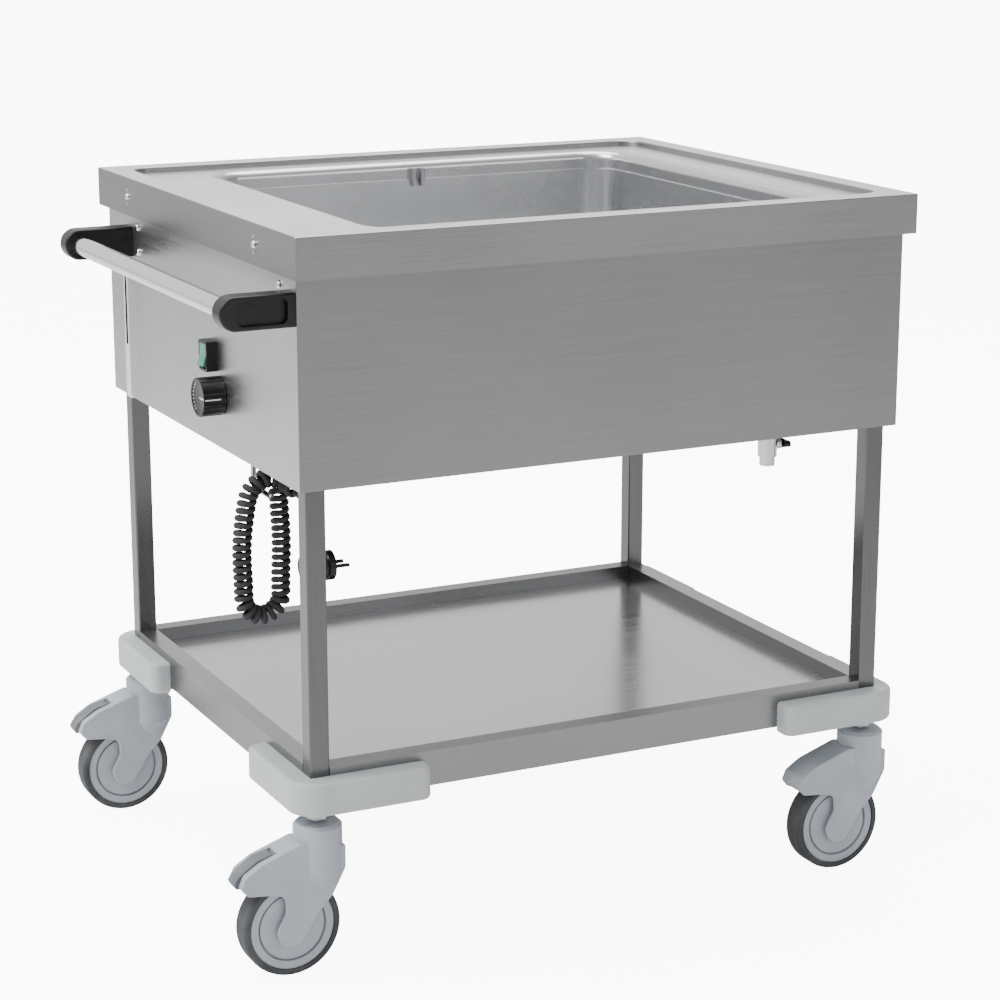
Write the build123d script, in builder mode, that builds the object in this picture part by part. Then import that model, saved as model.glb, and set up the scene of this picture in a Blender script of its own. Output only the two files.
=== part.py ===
from build123d import *
import math
import os

# Steam table trolley: a heated two-pan basin in a sheet steel cabinet, carried on a square
# tube frame with a lower shelf, corner bumpers and four swivel casters.
# Millimetres, +Z up. X runs along the unit with the push handle at -X, and the operator's
# long side faces -Y. The origin is on the floor, under the middle of the whole outline.

os.makedirs("parts", exist_ok=True)

# Worktop and basin
length = 840.0
width = 715.0
height = 900.0
sheet = 1.5
apron_height = 50.0
apron_corner = 3.0
margin = 34.0
recess_drop = 8.0
recess_corner = 28.0
control_bay = 136.0
end_bay = 98.0
side_bay = 74.0
basin_corner = 45.0
basin_roll = 11.0
collar_height = 13.0
collar_step = 3.5
basin_depth = 200.0
basin_taper = 1.5
floor_radius = 20.0
lug_diameter = 7.0
lug_height = 25.0
lug_gap = 13.0
lug_drop = 8.0

# Cabinet
panel_sheet = 1.2
end_overhang = 8.0
side_overhang = 20.0
cabinet_bottom = 600.0
panel_lip = 10.0

# Frame and shelf
leg_size = 25.0
leg_wall = 1.5
leg_inset = 11.0
leg_corner = 2.0
rail_height = 45.0
rail_wall = 1.5
tray_drop = 17.0
tray_lip = 22.0
tray_sheet = 1.2

# Bumpers
bumper_bottom = 204.0
bumper_height = 42.0
bumper_base = 8.0
bumper_reach = 26.0
bumper_arm = 176.0
bumper_corner = 38.0
bumper_end = 14.0
bumper_edge = 5.0

# Casters
wheel_radius = 62.5
wheel_width = 32.0
tread_depth = 8.5
trail = 40.0
stem_diameter = 12.0
stem_bottom = 152.0
nut_size = 22.0
nut_height = 13.0
foot_height = 30.0
cap_radius = 30.0
cap_top = 187.5
fork_width = 44.0
fork_wall = 3.5
fork_round = 2.0
well_gap = 3.5
axle_diameter = 10.0
pedal_width = 22.0
pedal_gap = 0.6
pedal_pin = 5.0
running_fit = 0.05

# Push handle
handle_diameter = 25.0
handle_wall = 1.5
handle_height = 814.0
handle_reach = 92.0
handle_near_inset = 1.0
handle_far_inset = 71.0
bracket_height = 40.0
bracket_width = 28.0
bracket_border = 5.0
bracket_round = 3.0
bracket_pocket = 7.0
tube_socket = 21.0

# Control panel fittings, as seen by someone facing the panel
switch_right = 58.0
switch_height = 714.0
bezel_width = 28.0
bezel_height = 38.0
bezel_depth = 14.0
bezel_rim = 3.0
pocket_depth = 12.0
switch_body_width = 24.0
switch_body_height = 34.0
switch_body_depth = 22.0
rocker_pin = 3.0
rocker_tilt = 9.0
rocker_gap = 0.8
knob_right = 80.0
knob_height = 667.0
knob_diameter = 50.0
knob_depth = 29.0
knob_gap = 1.0
spindle_diameter = 6.0
gauge_left = 238.0
gauge_bottom = 606.0
gauge_length = 164.0
gauge_width = 18.0
gauge_depth = 13.0
gauge_tube = 9.0
gauge_wall = 1.2
gauge_slot = 7.0
gauge_window = 92.0
cap_length = 7.0
terminal_right = -60.0
terminal_height = 640.0
screw_head = 10.0
screw_shank = 5.0
screw_away = 22.0
rim_screw_right = 230.0
rivet_diameter = 3.5
rivet_away = 9.0

# Mains cord
cable = 7.6
coil_diameter = 25.0
coil_radius = 25.8
coil_bend = 25.0
cord_side = 141.0
gland_thread = 16.0
gland_nose = 28.0
plug_radius = 16.5
plug_face = 18.0
plug_length = 38.0
plug_height = 494.0
plug_inset = 22.0
boss_inset = 12.0
boss_height = 32.0
clip_wall = 2.0
clip_width = 10.0
hook_diameter = 7.0
hook_gap = 0.3
cord_inset = 24.0
pin_diameter = 4.8
pin_length = 19.0
pin_spacing = 19.0

# Drain
drain_diameter = 22.0
drain_wall = 1.5
drain_inset = 45.0
drain_bend = 22.0
valve_x = 270.0
valve_y = -256.0
valve_top = 587.0
valve_diameter = 25.0
valve_height = 30.0
nozzle_diameter = 20.0
nozzle_height = 12.0
lever_gap = 0.4
lever_length = 26.0

# Heating element under the basin
heater_diameter = 8.5
heater_inset = 60.0
heater_bend = 30.0

# Worked out from the values above
cab_x = length / 2 - end_overhang
cab_y = width / 2 - side_overhang
leg_x = cab_x - leg_inset
leg_y = cab_y - leg_inset
reach_left = cab_x + handle_reach
reach_right = max(leg_x + bumper_reach, length / 2)
mid_x = (reach_left - reach_right) / 2
seat = height - recess_drop
under_top = seat - sheet
recess_x = length - 2 * margin
recess_y = width - 2 * margin
basin_x = length - control_bay - end_bay
basin_y = width - 2 * side_bay
basin_mid = (control_bay - end_bay) / 2
ledge = seat - basin_roll - collar_height
basin_floor = seat - basin_depth
bowl_x = basin_x - 2 * collar_step
bowl_y = basin_y - 2 * collar_step
leg_bottom = bumper_bottom + bumper_base
rail_top = leg_bottom + rail_height
tray_top = rail_top - tray_drop
pivot_x = leg_x - leg_size / 2
pivot_y = leg_y - leg_size / 2
cover_bottom = cabinet_bottom + panel_sheet
end_y = cab_y - panel_sheet
out_x = leg_x + bumper_reach
out_y = leg_y + bumper_reach
near_bracket = cab_y - handle_near_inset - bracket_width
far_bracket = -(cab_y - handle_far_inset - bracket_width)
rim_screw_z = height - apron_height / 2
rim_screw_spots = [(right, rim_screw_z) for right in (-rim_screw_right, rim_screw_right)]
panel_screw_spots = [
    (right, handle_height + rise)
    for right in (near_bracket - screw_away, far_bracket + screw_away)
    for rise in (bracket_height / 2 + 2, -bracket_height / 2 + 9)
]

# Reference planes: the floor under the worktop, and the outer face of the control panel with
# its first direction to the right and its second upwards, for someone who faces it.
ground = Plane(origin=(mid_x, 0, 0))
panel = Plane(origin=(mid_x - cab_x, 0, 0), x_dir=(0, -1, 0), z_dir=(-1, 0, 0))

corners = {
    "front_left": (-1, -1),
    "back_left": (-1, 1),
    "front_right": (1, -1),
    "back_right": (1, 1),
}
braked = ("front_left", "back_left")


# ---------------------------------------------------------------- worktop and basin

with BuildPart() as worktop:
    with BuildSketch(ground.offset(height - apron_height)):
        RectangleRounded(length, width, apron_corner)
    extrude(amount=apron_height)
    with BuildSketch(ground.offset(height - apron_height)):
        RectangleRounded(length - 2 * sheet, width - 2 * sheet, apron_corner - sheet)
    extrude(amount=apron_height - recess_drop - sheet, mode=Mode.SUBTRACT)
    with BuildSketch(ground.offset(under_top)):
        RectangleRounded(length - 2 * sheet, width - 2 * sheet, apron_corner - sheet)
        RectangleRounded(
            recess_x + 2 * sheet, recess_y + 2 * sheet, recess_corner + sheet, mode=Mode.SUBTRACT
        )
    extrude(amount=recess_drop, mode=Mode.SUBTRACT)
    with BuildSketch(ground.offset(height)):
        RectangleRounded(recess_x, recess_y, recess_corner)
    extrude(amount=-recess_drop, mode=Mode.SUBTRACT)
    top_face = worktop.faces().sort_by(Axis.Z)[-1]
    fillet(top_face.outer_wire().edges(), radius=2)
    step_edges = worktop.faces().sort_by(Axis.Z)[-1].inner_wires()[0].edges()
    fillet(step_edges, radius=3)
    with BuildSketch(ground.offset(seat)):
        with Locations((basin_mid, 0)):
            RectangleRounded(
                basin_x + 2 * basin_roll, basin_y + 2 * basin_roll, basin_corner + basin_roll
            )
    extrude(amount=-sheet, mode=Mode.SUBTRACT)
    with BuildSketch(panel.offset(end_overhang)):
        with Locations(*rim_screw_spots):
            Circle(screw_shank / 2 + 0.1)
    extrude(amount=-sheet, mode=Mode.SUBTRACT)
worktop.part.label = "worktop"
export_step(worktop.part, "parts/worktop.step")

# Hollow of the bowl: tapered walls and a rounded floor.
bowl_depth = ledge - basin_floor
with BuildPart() as bowl_space:
    with BuildSketch(ground.offset(ledge)):
        with Locations((basin_mid, 0)):
            RectangleRounded(bowl_x, bowl_y, basin_corner)
    extrude(amount=-bowl_depth, taper=basin_taper)
    fillet(bowl_space.faces().sort_by(Axis.Z)[0].edges(), radius=floor_radius)

# The basin has a rolled rim, a short collar, a ledge under it and the bowl.
drain_x = basin_mid + bowl_x / 2 - drain_inset
drain_y = -(bowl_y / 2 - drain_inset)
with BuildPart() as basin:
    with BuildSketch(ground.offset(seat - basin_roll)):
        with Locations((basin_mid, 0)):
            RectangleRounded(
                basin_x + 2 * basin_roll, basin_y + 2 * basin_roll, basin_corner + basin_roll
            )
    extrude(amount=basin_roll)
    with BuildSketch(ground.offset(seat - basin_roll)):
        with Locations((basin_mid, 0)):
            RectangleRounded(basin_x + 2 * sheet, basin_y + 2 * sheet, basin_corner + sheet)
    extrude(amount=-collar_height - sheet)
    with BuildSketch(ground.offset(ledge)):
        with Locations((basin_mid, 0)):
            RectangleRounded(bowl_x + 2 * sheet, bowl_y + 2 * sheet, basin_corner + sheet)
    extrude(amount=-bowl_depth - sheet, taper=basin_taper)
    fillet(basin.faces().sort_by(Axis.Z)[0].edges(), radius=floor_radius + sheet)
    with BuildSketch(ground.offset(seat)):
        with Locations((basin_mid, 0)):
            RectangleRounded(basin_x, basin_y, basin_corner)
    extrude(amount=ledge - seat, mode=Mode.SUBTRACT)
    fillet(basin.faces().sort_by(Axis.Z)[-1].inner_wires()[0].edges(), radius=basin_roll - 0.4)
    add(bowl_space.part, mode=Mode.SUBTRACT)
    with BuildSketch(ground.offset(basin_floor)):
        with Locations((drain_x, drain_y)):
            Circle(drain_diameter / 2 - drain_wall)
    extrude(amount=-sheet, mode=Mode.SUBTRACT)
basin.part.label = "basin"
export_step(basin.part, "parts/basin.step")

# Pairs of short round lugs, front and back, that locate the bar between two pans.
lug_y = bowl_y / 2 - lug_diameter / 2 - 1.2
with BuildPart() as divider_lugs:
    for side in (-1, 1):
        for offset in (-lug_gap / 2, lug_gap / 2):
            with BuildSketch(ground.offset(seat - lug_drop)):
                with Locations((basin_mid + offset, side * lug_y)):
                    Circle(lug_diameter / 2)
            extrude(amount=-lug_height)
            with BuildSketch(ground.offset(ledge)):
                with Locations((basin_mid + offset, side * (lug_y + basin_y / 2) / 2)):
                    Rectangle(lug_diameter - 2, basin_y / 2 - lug_y)
            extrude(amount=collar_height - 2)
divider_lugs.part.label = "divider_lugs"
export_step(divider_lugs.part, "parts/divider_lugs.step")


# ---------------------------------------------------------------- cabinet

# Front and back panels: folded sheet with a lip under the cabinet.
for name, side in (("front_panel", -1), ("back_panel", 1)):
    with BuildPart() as long_panel:
        with BuildSketch(ground.offset(cabinet_bottom)):
            with Locations((0, side * (cab_y - panel_sheet / 2))):
                Rectangle(2 * cab_x, panel_sheet)
        extrude(amount=under_top - cabinet_bottom)
        with BuildSketch(ground.offset(cabinet_bottom)):
            with Locations((0, side * (cab_y - panel_lip / 2))):
                Rectangle(2 * cab_x - 2 * panel_lip, panel_lip)
        extrude(amount=panel_sheet)
    long_panel.part.label = name
    export_step(long_panel.part, f"parts/{name}.step")

# End panels stand between the long ones. The control panel has the cut-outs.
for name, side in (("control_panel", -1), ("end_panel", 1)):
    with BuildPart() as short_panel:
        with BuildSketch(ground.offset(cabinet_bottom)):
            with Locations((side * (cab_x - panel_sheet / 2), 0)):
                Rectangle(panel_sheet, 2 * end_y)
        extrude(amount=under_top - cabinet_bottom)
        with BuildSketch(ground.offset(cabinet_bottom)):
            with Locations((side * (cab_x - panel_lip / 2), 0)):
                Rectangle(panel_lip, 2 * end_y - 2 * panel_lip)
        extrude(amount=panel_sheet)
        if name == "control_panel":
            with BuildSketch(panel):
                with Locations((switch_right, switch_height)):
                    Rectangle(switch_body_width + 0.2, switch_body_height + 0.2)
                with Locations((knob_right, knob_height)):
                    Circle(spindle_diameter / 2 + 2)
                with Locations(*panel_screw_spots, *rim_screw_spots):
                    Circle(screw_shank / 2 + 0.1)
            extrude(amount=-panel_sheet, mode=Mode.SUBTRACT)
    short_panel.part.label = name
    export_step(short_panel.part, f"parts/{name}.step")

# The cover under the cabinet lies on the panels' lips and lets the legs, drain and gland through.
gland_x = -cab_x + cord_inset + coil_radius
gland_y = -cord_side
with BuildPart() as bottom_cover:
    with BuildSketch(ground.offset(cover_bottom)):
        Rectangle(2 * (cab_x - panel_sheet), 2 * end_y)
        with Locations(*[(sx * pivot_x, sy * pivot_y) for sx, sy in corners.values()]):
            Rectangle(leg_size + 0.4, leg_size + 0.4, mode=Mode.SUBTRACT)
        with Locations((valve_x, valve_y)):
            Circle(drain_diameter / 2 + 1, mode=Mode.SUBTRACT)
        with Locations((gland_x, gland_y)):
            Circle(gland_thread / 2 + 0.1, mode=Mode.SUBTRACT)
    extrude(amount=panel_sheet)
bottom_cover.part.label = "bottom_cover"
export_step(bottom_cover.part, "parts/bottom_cover.step")


# ---------------------------------------------------------------- frame and shelf

# Legs are square tube from the bumpers up to the worktop.
for corner, (sx, sy) in corners.items():
    with BuildPart() as leg:
        with BuildSketch(ground.offset(leg_bottom)):
            with Locations((sx * pivot_x, sy * pivot_y)):
                RectangleRounded(leg_size, leg_size, leg_corner)
                Rectangle(
                    leg_size - 2 * leg_wall, leg_size - 2 * leg_wall, mode=Mode.SUBTRACT
                )
        extrude(amount=under_top - leg_bottom)
    leg.part.label = f"leg_{corner}"
    export_step(leg.part, f"parts/leg_{corner}.step")

# Shelf rails: rectangular tube between the legs, two along X and two along Y.
rail_x = 2 * (leg_x - leg_size)
rail_y = 2 * (leg_y - leg_size)
with BuildPart() as rails_long:
    for side in (-1, 1):
        with BuildSketch(Plane(origin=(mid_x, 0, 0), x_dir=(0, 1, 0), z_dir=(1, 0, 0))):
            with Locations((side * pivot_y, leg_bottom + rail_height / 2)):
                Rectangle(leg_size, rail_height)
                Rectangle(
                    leg_size - 2 * rail_wall, rail_height - 2 * rail_wall, mode=Mode.SUBTRACT
                )
        extrude(amount=rail_x / 2, both=True)
rails_long.part.label = "shelf_rails_long"
export_step(rails_long.part, "parts/shelf_rails_long.step")

with BuildPart() as rails_short:
    for side in (-1, 1):
        with BuildSketch(Plane(origin=(mid_x, 0, 0), x_dir=(1, 0, 0), z_dir=(0, -1, 0))):
            with Locations((side * pivot_x, leg_bottom + rail_height / 2)):
                Rectangle(leg_size, rail_height)
                Rectangle(
                    leg_size - 2 * rail_wall, rail_height - 2 * rail_wall, mode=Mode.SUBTRACT
                )
        extrude(amount=rail_y / 2, both=True)
rails_short.part.label = "shelf_rails_short"
export_step(rails_short.part, "parts/shelf_rails_short.step")

# Shelf: a flat sheet with its edges folded down inside the rails.
with BuildPart() as shelf_tray:
    with BuildSketch(ground.offset(tray_top)):
        Rectangle(rail_x, rail_y)
    extrude(amount=-tray_lip)
    with BuildSketch(ground.offset(tray_top - tray_sheet)):
        Rectangle(rail_x - 2 * tray_sheet, rail_y - 2 * tray_sheet)
    extrude(amount=-tray_lip + tray_sheet, mode=Mode.SUBTRACT)
shelf_tray.part.label = "shelf_tray"
export_step(shelf_tray.part, "parts/shelf_tray.step")

# Corner bumpers: a wall outside the legs and rails, and a base plate under them.
for corner, (sx, sy) in corners.items():
    with BuildPart() as bumper:
        with BuildSketch(ground.offset(bumper_bottom)) as wall_plan:
            with BuildLine():
                Polyline(
                    (sx * out_x, sy * out_y),
                    (sx * (out_x - bumper_arm), sy * out_y),
                    (sx * (out_x - bumper_arm), sy * leg_y),
                    (sx * leg_x, sy * leg_y),
                    (sx * leg_x, sy * (out_y - bumper_arm)),
                    (sx * out_x, sy * (out_y - bumper_arm)),
                    close=True,
                )
            make_face()
            tip = wall_plan.vertices().sort_by_distance((sx * out_x, sy * out_y, 0))
            fillet(tip[0], radius=bumper_corner)
            ends = wall_plan.vertices().filter_by(
                lambda v: abs(v.X) > out_x - 0.1 and abs(v.Y) < out_y - bumper_arm + 0.1
                or abs(v.Y) > out_y - 0.1 and abs(v.X) < out_x - bumper_arm + 0.1
            )
            fillet(ends, radius=bumper_end)
        extrude(amount=bumper_height)
        rims = bumper.edges().filter_by(Plane.XY).filter_by(
            lambda e: abs((e @ 0.5).X - mid_x) > leg_x + 1 or abs((e @ 0.5).Y) > leg_y + 1
        )
        fillet(rims, radius=bumper_edge)
        with BuildSketch(ground.offset(bumper_bottom)):
            with BuildLine():
                Polyline(
                    (sx * (leg_x + bumper_edge), sy * (leg_y + bumper_edge)),
                    (sx * (out_x - bumper_arm + bumper_end), sy * (leg_y + bumper_edge)),
                    (sx * (out_x - bumper_arm + bumper_end), sy * (leg_y - leg_size)),
                    (sx * (leg_x - leg_size), sy * (leg_y - leg_size)),
                    (sx * (leg_x - leg_size), sy * (out_y - bumper_arm + bumper_end)),
                    (sx * (leg_x + bumper_edge), sy * (out_y - bumper_arm + bumper_end)),
                    close=True,
                )
            make_face()
        extrude(amount=bumper_base)
        with BuildSketch(ground.offset(bumper_bottom)):
            with Locations((sx * pivot_x, sy * pivot_y)):
                Circle(stem_diameter / 2 + 0.2)
        extrude(amount=bumper_base, mode=Mode.SUBTRACT)
    bumper.part.label = f"bumper_{corner}"
    export_step(bumper.part, f"parts/bumper_{corner}.step")


# ---------------------------------------------------------------- casters

# Stems: a plug in the foot of each leg, the pin the caster turns on, and its nut.
plug_size = leg_size - 2 * leg_wall - 0.2
with BuildPart() as caster_stems:
    for sx, sy in corners.values():
        spot = (sx * pivot_x, sy * pivot_y)
        with BuildSketch(ground.offset(leg_bottom)):
            with Locations(spot):
                Rectangle(plug_size, plug_size)
        extrude(amount=foot_height)
        with BuildSketch(ground.offset(leg_bottom)):
            with Locations(spot):
                Circle(stem_diameter / 2)
        extrude(amount=stem_bottom - leg_bottom)
        with BuildSketch(ground.offset(bumper_bottom)):
            with Locations(spot):
                RegularPolygon(nut_size / 2, 6, major_radius=False)
        extrude(amount=-nut_height)
caster_stems.part.label = "caster_stems"
export_step(caster_stems.part, "parts/caster_stems.step")

# Side outline of the fork and hood: X from the swivel axis, Z above the floor.
fork_outline = [
    (cap_radius - 2, 158, 0),
    (cap_radius - 2, 130, 14),
    (11, 98, 12),
    (-6, 80, 30),
    (-31, 41, 14),
    (-54, 38, 14),
    (-63, 60, 14),
    (-50, 84, 12),
    (-51, 105, 9),
    (-70, 110, 12),
    (-98, 113, 8),
    (-107, 124, 4),
    (-101, 138, 8),
    (-80, 151, 30),
    (-cap_radius, 168, 0),
]
hood_space = [(-104, 98), (-102, 120), (-98, 132), (-80, 144), (-46, 155), (-38, 125), (0, 98)]
pedal_outline = [
    (-112, 127),
    (-108, 134),
    (-98, 142),
    (-82, 153),
    (-62, 158),
    (-60, 148),
    (-64, 135),
    (-84, 128),
    (-100, 122),
    (-109, 121),
]
pedal_pivot = (-68, 142)
half_fork = fork_width / 2
half_well = half_fork - fork_wall
half_wheel = wheel_width / 2
rim_radius = wheel_radius - tread_depth
for corner, (sx, sy) in corners.items():
    side = Plane(
        origin=(mid_x + sx * pivot_x, sy * pivot_y, 0), x_dir=(1, 0, 0), z_dir=(0, -1, 0)
    )
    swivel = Plane(origin=(mid_x + sx * pivot_x, sy * pivot_y, 0))

    with BuildPart() as housing:
        with BuildSketch(side):
            with BuildLine():
                FilletPolyline(
                    [(x, z) for x, z, _ in fork_outline],
                    radius=[r for _, _, r in fork_outline[1:-1]],
                )
                Line((-cap_radius, 168), (cap_radius - 2, 158))
            make_face()
        extrude(amount=half_fork, both=True)
        edges = housing.edges().filter_by(
            lambda e: abs(abs((e @ 0.5).Y - sy * pivot_y) - half_fork) < 0.01 and (e @ 0.5).Z < 156
        )
        fillet(edges, radius=fork_round)
        # round body over the swivel bearing, drawn as a half section
        with BuildSketch(side):
            with BuildLine():
                Polyline(
                    (0, 100),
                    (half_fork - 3, 100),
                    (cap_radius, 126),
                    (cap_radius, cap_top - 4),
                    (cap_radius - 4, cap_top),
                    (0, cap_top),
                    close=True,
                )
            make_face()
        revolve(axis=Axis((mid_x + sx * pivot_x, sy * pivot_y, 0), (0, 0, 1)))
        # wheel well and the space under the hood
        with BuildSketch(side):
            with Locations((-trail, wheel_radius)):
                Circle(wheel_radius + well_gap)
            with BuildLine():
                Polyline(*hood_space, close=True)
            make_face()
        extrude(amount=half_well, both=True, mode=Mode.SUBTRACT)
        # bearing bore and axle seats
        with BuildSketch(swivel.offset(cap_top)):
            Circle(stem_diameter / 2 + running_fit)
        extrude(amount=stem_bottom - 1 - cap_top, mode=Mode.SUBTRACT)
        with BuildSketch(side):
            with Locations((-trail, wheel_radius)):
                Circle(axle_diameter / 2)
        extrude(amount=half_fork - 1, both=True, mode=Mode.SUBTRACT)
        if corner in braked:
            with BuildSketch(swivel.offset(cap_top - 20)):
                with Locations((-86, 0)):
                    Rectangle(58, pedal_width + 2 * pedal_gap)
            extrude(amount=-52, mode=Mode.SUBTRACT)
            with BuildSketch(side):
                with Locations(pedal_pivot):
                    Circle(pedal_pin / 2 + running_fit)
            extrude(amount=half_fork - 1, both=True, mode=Mode.SUBTRACT)
    housing.part.label = f"caster_housing_{corner}"
    export_step(housing.part, f"parts/caster_housing_{corner}.step")

    with BuildPart() as axle:
        with BuildSketch(side):
            with Locations((-trail, wheel_radius)):
                Circle(axle_diameter / 2)
        extrude(amount=half_fork - 1, both=True)
    axle.part.label = f"wheel_axle_{corner}"
    export_step(axle.part, f"parts/wheel_axle_{corner}.step")

    # wheel sections are drawn in the plane of the axle: first along the axle, then outwards
    section = Plane(
        origin=(mid_x + sx * pivot_x - trail, sy * pivot_y, wheel_radius),
        x_dir=(0, 1, 0),
        z_dir=(1, 0, 0),
    )
    axle_line = Axis(
        (mid_x + sx * pivot_x - trail, sy * pivot_y, wheel_radius), (0, 1, 0)
    )
    with BuildPart() as centre:
        with BuildSketch(section):
            with BuildLine():
                Polyline(
                    (-half_well + 0.5, axle_diameter / 2 + running_fit),
                    (-half_well + 0.5, 12),
                    (-13.5, 16),
                    (-13, rim_radius - 13),
                    (-9.5, rim_radius - 12.5),
                    (-9.5, rim_radius - 10.5),
                    (-14, rim_radius - 10),
                    (-14.5, rim_radius - 1),
                    (-13.5, rim_radius),
                    (0, rim_radius),
                )
                mirror(about=Plane.YZ)
                Line(
                    (-half_well + 0.5, axle_diameter / 2 + running_fit),
                    (half_well - 0.5, axle_diameter / 2 + running_fit),
                )
            make_face()
        revolve(axis=axle_line)
    centre.part.label = f"wheel_centre_{corner}"
    export_step(centre.part, f"parts/wheel_centre_{corner}.step")

    with BuildPart() as tread:
        with BuildSketch(section) as tread_section:
            with Locations((0, wheel_radius - tread_depth / 2)):
                Rectangle(wheel_width, tread_depth)
            outer = tread_section.vertices().group_by(Axis.Y)[-1]
            fillet(outer, radius=5)
        revolve(axis=axle_line)
    tread.part.label = f"wheel_tread_{corner}"
    export_step(tread.part, f"parts/wheel_tread_{corner}.step")

    if corner in braked:
        with BuildPart() as pedal:
            with BuildSketch(side):
                with BuildLine():
                    Polyline(*pedal_outline, close=True)
                make_face()
            extrude(amount=pedal_width / 2, both=True)
            fillet(pedal.edges().filter_by(Axis.Y), radius=1.5)
            with BuildSketch(side):
                with Locations(pedal_pivot):
                    Circle(pedal_pin / 2)
            extrude(amount=half_fork - 1.2, both=True)
        pedal.part.label = f"brake_pedal_{corner}"
        export_step(pedal.part, f"parts/brake_pedal_{corner}.step")


# ---------------------------------------------------------------- push handle

tube_out = handle_reach - bracket_height / 2
near_side = near_bracket + bracket_width
tube_near = near_bracket + tube_socket
tube_far = far_bracket - tube_socket
bar_axis = Plane(
    origin=(mid_x - cab_x - tube_out, -tube_near, handle_height), x_dir=(1, 0, 0), z_dir=(0, 1, 0)
)
with BuildPart() as push_handle:
    with BuildSketch(bar_axis):
        Circle(handle_diameter / 2)
        Circle(handle_diameter / 2 - handle_wall, mode=Mode.SUBTRACT)
    extrude(amount=tube_near - tube_far)
push_handle.part.label = "push_handle"
export_step(push_handle.part, "parts/push_handle.step")

with BuildPart() as handle_brackets:
    for right, outward in ((near_bracket, 1), (far_bracket, -1)):
        inner_face = Plane(
            origin=(mid_x - cab_x, -right, handle_height), x_dir=(-1, 0, 0), z_dir=(0, -outward, 0)
        )
        with BuildSketch(inner_face):
            with Locations((tube_out / 2, 0)):
                Rectangle(tube_out, bracket_height)
            with Locations((tube_out, 0)):
                Circle(bracket_height / 2)
        extrude(amount=bracket_width)
        side_edges = handle_brackets.edges().filter_by(
            lambda e: abs((e @ 0.5).Y + right + outward * bracket_width) < 0.01
            or abs((e @ 0.5).Y + right) < 0.01
        )
        away = side_edges.filter_by(lambda e: (e @ 0.5).X < mid_x - cab_x - 0.5)
        fillet(away, radius=bracket_round)
        with BuildSketch(inner_face):
            with Locations((tube_out, 0)):
                Circle(handle_diameter / 2)
        extrude(amount=tube_socket, mode=Mode.SUBTRACT)
        with BuildSketch(inner_face.offset(bracket_width)):
            with Locations((tube_out / 2 + bracket_border, 0)):
                RectangleRounded(
                    tube_out - 2 * bracket_border, bracket_height - 2 * bracket_border, 8
                )
        extrude(amount=-bracket_pocket + 1, mode=Mode.SUBTRACT)
handle_brackets.part.label = "handle_brackets"
export_step(handle_brackets.part, "parts/handle_brackets.step")

# Dome head screws of the panel and of the worktop's apron, and the rivets beside the latter.
with BuildPart() as end_screws:
    for spots, face in ((panel_screw_spots, 0.0), (rim_screw_spots, end_overhang)):
        with BuildSketch(panel.offset(face)):
            with Locations(*spots):
                Circle(screw_head / 2)
        extrude(amount=3.5)
        with BuildSketch(panel.offset(face)):
            with Locations(*spots):
                Circle(screw_shank / 2)
        extrude(amount=-face - 5)
    domes = end_screws.edges().filter_by(GeomType.CIRCLE).filter_by(
        lambda e: abs(e.radius - screw_head / 2) < 0.01
    )
    outer_rims = domes.filter_by(
        lambda e: abs(mid_x - cab_x - 3.5 - e.center().X) < 0.1
        or abs(mid_x - length / 2 - 3.5 - e.center().X) < 0.1
    )
    fillet(outer_rims, radius=2.8)
    with BuildSketch(panel.offset(end_overhang)):
        with Locations(*[(r, z + dz) for r, z in rim_screw_spots for dz in (-rivet_away, rivet_away)]):
            Circle(rivet_diameter / 2)
    extrude(amount=1.6)
end_screws.part.label = "end_screws"
export_step(end_screws.part, "parts/end_screws.step")


# ---------------------------------------------------------------- control panel fittings

tilt = math.radians(rocker_tilt)
rocker_pivot = bezel_depth - pocket_depth + 4
rocker_side = Plane(
    origin=(mid_x - cab_x - rocker_pivot, -switch_right, switch_height),
    x_dir=(-math.cos(tilt), 0, math.sin(tilt)),
    z_dir=(0, 1, 0),
)
switch_spot = (switch_right, switch_height)
pocket_width = bezel_width - 2 * bezel_rim
pocket_height = bezel_height - 2 * bezel_rim
with BuildPart() as switch_bezel:
    with BuildSketch(panel):
        with Locations(switch_spot):
            RectangleRounded(bezel_width, bezel_height, 3)
    extrude(amount=bezel_depth)
    with BuildSketch(panel):
        with Locations(switch_spot):
            Rectangle(switch_body_width, switch_body_height)
    extrude(amount=-switch_body_depth)
    with BuildSketch(panel.offset(bezel_depth)):
        with Locations(switch_spot):
            Rectangle(pocket_width, pocket_height)
    extrude(amount=-pocket_depth, mode=Mode.SUBTRACT)
    with BuildSketch(rocker_side):
        Circle(rocker_pin / 2 + running_fit)
    extrude(amount=pocket_width / 2 + bezel_rim / 2 + 0.2, both=True, mode=Mode.SUBTRACT)
switch_bezel.part.label = "switch_bezel"
export_step(switch_bezel.part, "parts/switch_bezel.step")

# Rocker with two faces, tilted about its pivot to the off position.
half_rocker = pocket_height / 2 - rocker_gap - 0.4
with BuildPart() as switch_rocker:
    with BuildSketch(rocker_side):
        with BuildLine():
            Polyline(
                (bezel_depth - rocker_pivot, 0),
                (bezel_depth - rocker_pivot + 2, half_rocker - 1),
                (0, half_rocker),
                (-3, 5),
                (-3, -5),
                (0, -half_rocker),
                (bezel_depth - rocker_pivot + 2, -half_rocker + 1),
                close=True,
            )
        make_face()
    extrude(amount=pocket_width / 2 - rocker_gap / 2, both=True)
    with BuildSketch(rocker_side):
        Circle(rocker_pin / 2)
    extrude(amount=pocket_width / 2 + bezel_rim / 2, both=True)
switch_rocker.part.label = "switch_rocker"
export_step(switch_rocker.part, "parts/switch_rocker.step")

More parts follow.
